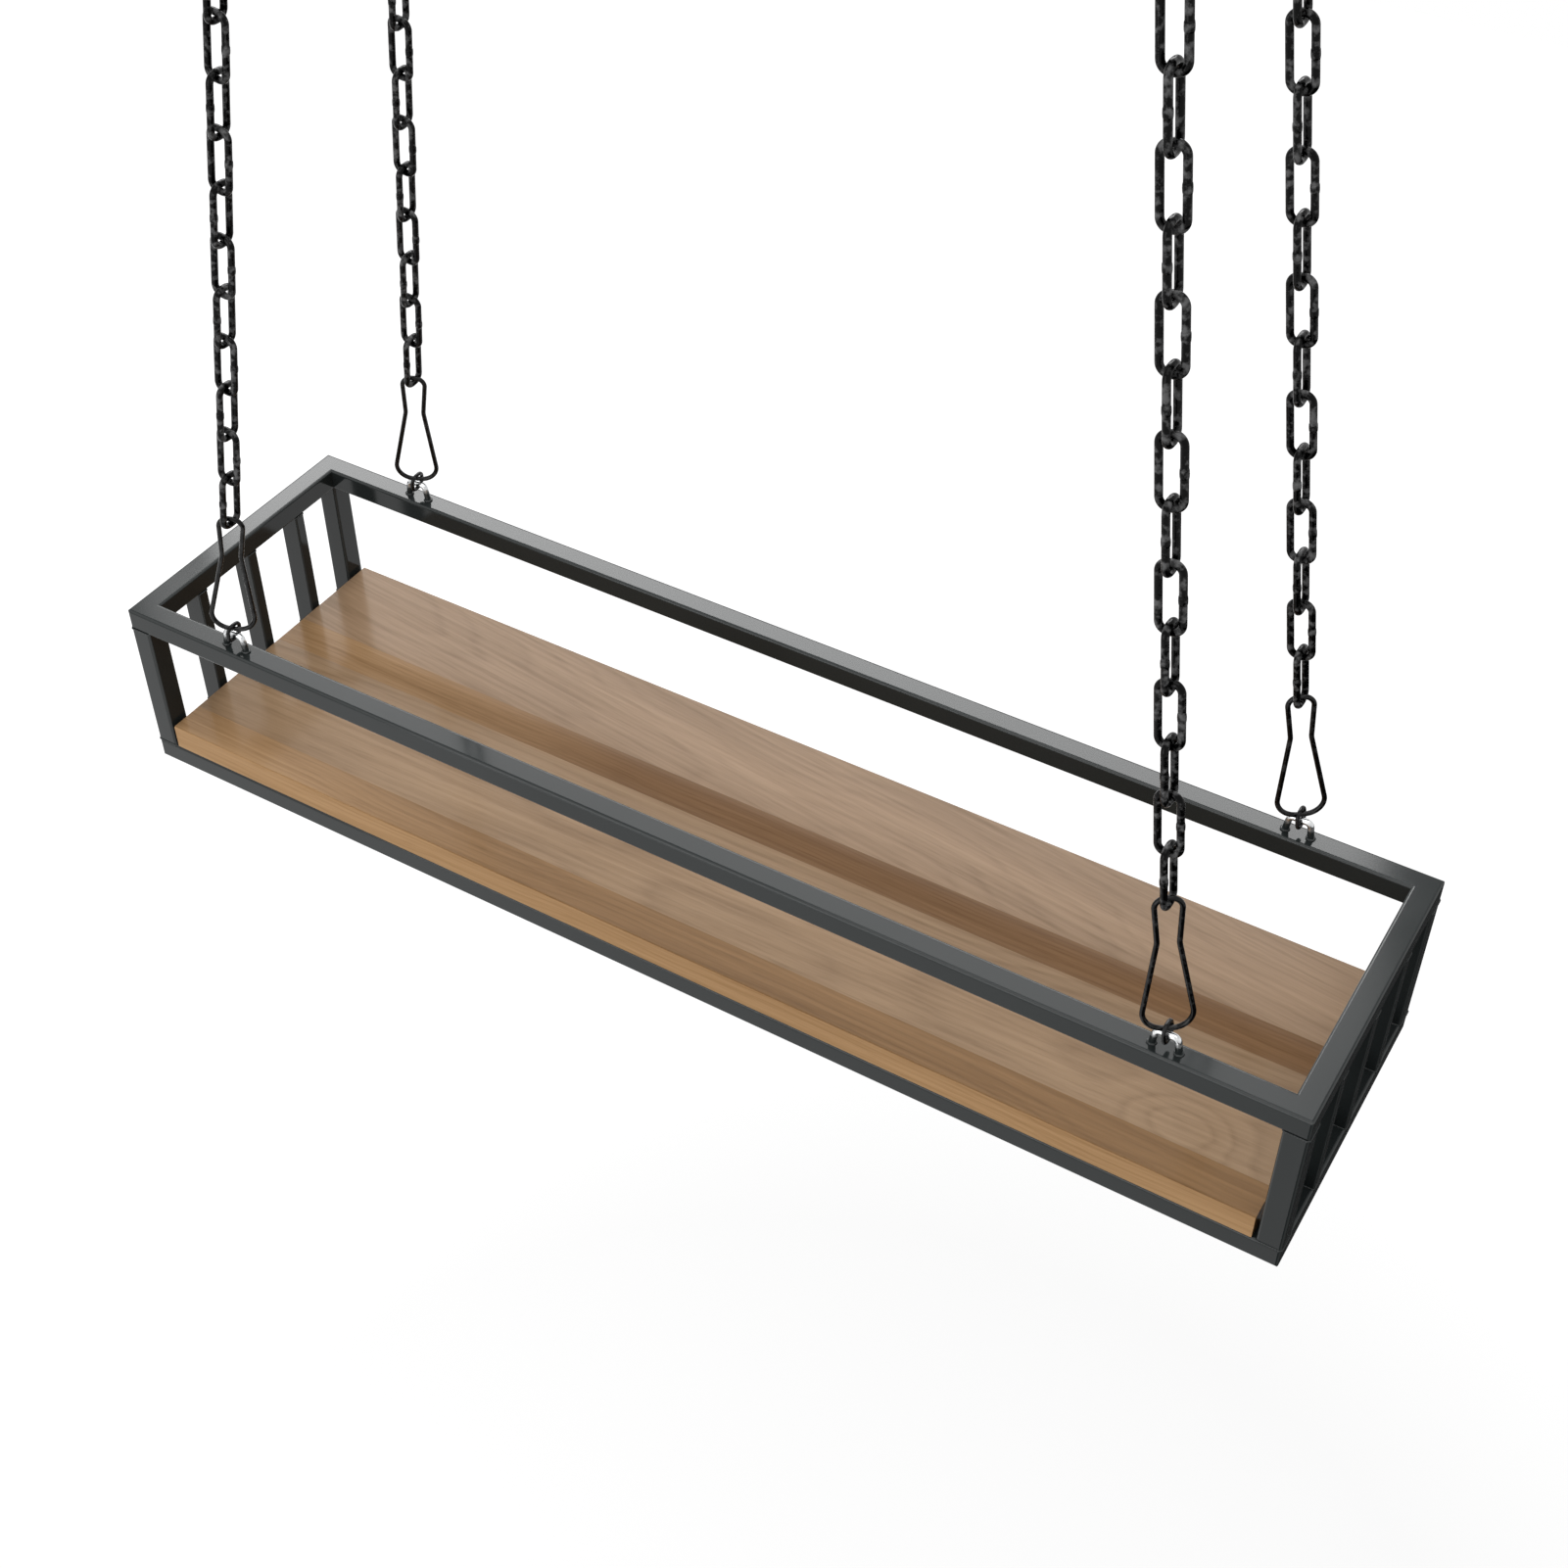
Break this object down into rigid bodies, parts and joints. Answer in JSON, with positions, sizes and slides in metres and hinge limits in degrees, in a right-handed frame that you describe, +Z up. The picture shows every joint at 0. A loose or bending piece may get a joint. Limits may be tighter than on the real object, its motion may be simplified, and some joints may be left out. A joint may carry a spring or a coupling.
{
  "type": "hanging plant shelf",
  "caption": "Long plant shelf with a dark welded tube frame, barred ends and a glued wooden board, hung from ceiling hooks on long-link chains with pear-shaped wire hangers.",
  "frame": {"origin": "in the ceiling plane, at the centre of the rectangle of the four ceiling hooks' shanks", "axes": "+X along the shelf to the right as seen from the front, +Y to the back, +Z up into the ceiling"},
  "size_m": [0.8, 0.2, 0.8229],
  "materials": {
    "frame_coating": "dark grey powder coat, satin",
    "wood_beige": "satin lacquered beige wood",
    "wood_brown": "satin lacquered brown wood",
    "black_wire": "black gloss coated steel wire",
    "plated_steel": "bright zinc plated",
    "screw_steel": "black zinc plated"
  },
  "bodies": {
    "ceiling": {"ceiling_hook_front_left": "black_wire", "ceiling_hook_front_right": "black_wire", "ceiling_hook_back_left": "black_wire", "ceiling_hook_back_right": "black_wire"},
    "link_front_left": {"top_link_front_left": "black_wire"},
    "chain_front_left": {"chain_front_left": "black_wire"},
    "hanger_front_left": {"pear_hanger_front_left": "black_wire", "joining_ring_front_left": "black_wire"},
    "link_front_right": {"top_link_front_right": "black_wire"},
    "chain_front_right": {"chain_front_right": "black_wire"},
    "hanger_front_right": {"pear_hanger_front_right": "black_wire", "joining_ring_front_right": "black_wire"},
    "link_back_left": {"top_link_back_left": "black_wire"},
    "chain_back_left": {"chain_back_left": "black_wire"},
    "hanger_back_left": {"pear_hanger_back_left": "black_wire", "joining_ring_back_left": "black_wire"},
    "link_back_right": {"top_link_back_right": "black_wire"},
    "chain_back_right": {"chain_back_right": "black_wire"},
    "hanger_back_right": {"pear_hanger_back_right": "black_wire", "joining_ring_back_right": "black_wire"},
    "shelf": {"board_screws": "screw_steel", "board_stave_back": "wood_beige", "board_stave_front": "wood_brown", "board_stave_middle": "wood_brown", "board_stave_wide": "wood_beige", "bottom_rail_back": "frame_coating", "bottom_rail_front": "frame_coating", "bottom_rail_left": "frame_coating", "bottom_rail_right": "frame_coating", "corner_post_back_left": "frame_coating", "corner_post_back_right": "frame_coating", "corner_post_front_left": "frame_coating", "corner_post_front_right": "frame_coating", "end_bar_left_1": "frame_coating", "end_bar_left_2": "frame_coating", "end_bar_left_3": "frame_coating", "end_bar_right_1": "frame_coating", "end_bar_right_2": "frame_coating", "end_bar_right_3": "frame_coating", "hanging_eye_back_left": "plated_steel", "hanging_eye_back_right": "plated_steel", "hanging_eye_front_left": "plated_steel", "hanging_eye_front_right": "plated_steel", "top_rail_back": "frame_coating", "top_rail_front": "frame_coating", "top_rail_left": "frame_coating", "top_rail_right": "frame_coating"}
  },
  "joints": [
    {"name": "sway_front_left", "type": "hinge", "parent": "ceiling", "child": "link_front_left", "pos_m": [-0.225, -0.06, -0.03083], "axis": [1, 0, 0], "range_deg": [-12, 12]},
    {"name": "swing_front_left", "type": "hinge", "parent": "link_front_left", "child": "chain_front_left", "pos_m": [-0.22948, -0.06162, -0.06187], "axis": [0, 1, 0], "range_deg": [-8, 8]},
    {"name": "hanger_pivot_front_left", "type": "hinge", "parent": "chain_front_left", "child": "hanger_front_left", "pos_m": [-0.30252, -0.08799, -0.56795], "axis": [0, 1, 0], "range_deg": [-6.17, 6.17]},
    {"name": "sway_front_right", "type": "hinge", "parent": "ceiling", "child": "link_front_right", "pos_m": [0.225, -0.06, -0.03083], "axis": [1, 0, 0], "range_deg": [-12, 12]},
    {"name": "swing_front_right", "type": "hinge", "parent": "link_front_right", "child": "chain_front_right", "pos_m": [0.22948, -0.06162, -0.06187], "axis": [0, 1, 0], "range_deg": [-8, 8]},
    {"name": "hanger_pivot_front_right", "type": "hinge", "parent": "chain_front_right", "child": "hanger_front_right", "pos_m": [0.30252, -0.08799, -0.56795], "axis": [0, 1, 0], "range_deg": [-6.17, 6.17]},
    {"name": "sway_back_left", "type": "hinge", "parent": "ceiling", "child": "link_back_left", "pos_m": [-0.225, 0.06, -0.03083], "axis": [1, 0, 0], "range_deg": [-12, 12]},
    {"name": "swing_back_left", "type": "hinge", "parent": "link_back_left", "child": "chain_back_left", "pos_m": [-0.22948, 0.06162, -0.06187], "axis": [0, 1, 0], "range_deg": [-8, 8]},
    {"name": "hanger_pivot_back_left", "type": "hinge", "parent": "chain_back_left", "child": "hanger_back_left", "pos_m": [-0.30252, 0.08799, -0.56795], "axis": [0, 1, 0], "range_deg": [-6.17, 6.17]},
    {"name": "sway_back_right", "type": "hinge", "parent": "ceiling", "child": "link_back_right", "pos_m": [0.225, 0.06, -0.03083], "axis": [1, 0, 0], "range_deg": [-12, 12]},
    {"name": "swing_back_right", "type": "hinge", "parent": "link_back_right", "child": "chain_back_right", "pos_m": [0.22948, 0.06162, -0.06187], "axis": [0, 1, 0], "range_deg": [-8, 8]},
    {"name": "hanger_pivot_back_right", "type": "hinge", "parent": "chain_back_right", "child": "hanger_back_right", "pos_m": [0.30252, 0.08799, -0.56795], "axis": [0, 1, 0], "range_deg": [-6.17, 6.17]},
    {"name": "shelf_pivot", "type": "hinge", "parent": "hanger_front_left", "child": "shelf", "pos_m": [-0.315, -0.0925, -0.65443], "axis": [1, 0, 0], "range_deg": [-7.88, 7.88]}
  ],
  "couplings": [
    {"joint": "hanger_pivot_front_left", "follows": "swing_front_left", "ratio": -0.75857},
    {"joint": "sway_front_right", "follows": "sway_front_left", "ratio": 1},
    {"joint": "swing_front_right", "follows": "swing_front_left", "ratio": 1},
    {"joint": "hanger_pivot_front_right", "follows": "swing_front_left", "ratio": -0.75857},
    {"joint": "sway_back_left", "follows": "sway_front_left", "ratio": 1},
    {"joint": "swing_back_left", "follows": "swing_front_left", "ratio": 1},
    {"joint": "hanger_pivot_back_left", "follows": "swing_front_left", "ratio": -0.75857},
    {"joint": "sway_back_right", "follows": "sway_front_left", "ratio": 1},
    {"joint": "swing_back_right", "follows": "swing_front_left", "ratio": 1},
    {"joint": "hanger_pivot_back_right", "follows": "swing_front_left", "ratio": -0.75857},
    {"joint": "shelf_pivot", "follows": "sway_front_left", "ratio": -0.64865}
  ]
}
